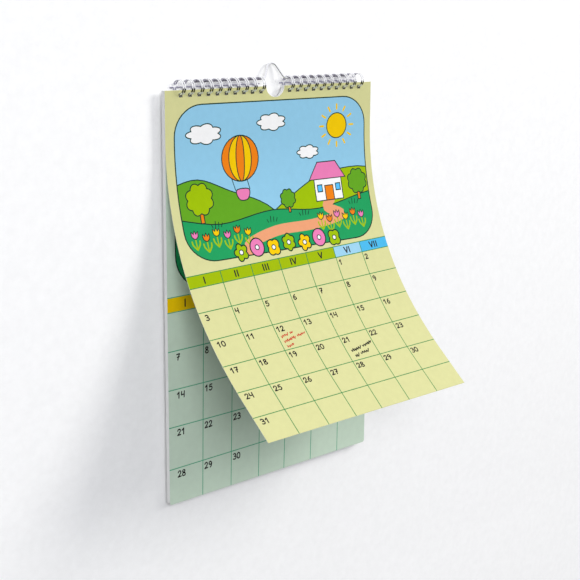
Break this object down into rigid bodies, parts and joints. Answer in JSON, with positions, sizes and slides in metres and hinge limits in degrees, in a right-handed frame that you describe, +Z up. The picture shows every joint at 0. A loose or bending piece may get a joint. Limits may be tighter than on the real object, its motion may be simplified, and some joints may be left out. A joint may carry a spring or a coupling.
{
  "type": "wall calendar",
  "caption": "Portrait wall calendar bound at the top with bright twin-loop wire, hung from a bent wire hanger, with its front leaf bent out over the pages behind.",
  "frame": {"origin": "underside of the hanger's crown, in the middle of the width, where it bears on a hook", "axes": "+Z up, +X to the viewer's right along the pages' width, +Y into the wall, so the pages face -Y"},
  "size_m": [0.21, 0.1085, 0.3141],
  "materials": {
    "hanger_wire": "bright polished",
    "binding_wire": "bright polished",
    "block_paper": "matte printed",
    "leaf_paper": "matte printed"
  },
  "bodies": {
    "hanger": {"hanger": "hanger_wire"},
    "calendar": {"left_binding_wire": "binding_wire", "right_binding_wire": "binding_wire", "page_block": "block_paper"},
    "leaf": {"front_leaf": "leaf_paper"}
  },
  "joints": [
    {"name": "hanger_pivot", "type": "hinge", "parent": "hanger", "child": "calendar", "pos_m": [0, -0.00328, -0.01008], "axis": [-1, 0, 0], "range_deg": [0, 60]},
    {"name": "leaf_turn", "type": "hinge", "parent": "calendar", "child": "leaf", "pos_m": [0, -0.00328, -0.01385], "axis": [-1, 0, 0], "range_deg": [0, 115]}
  ]
}
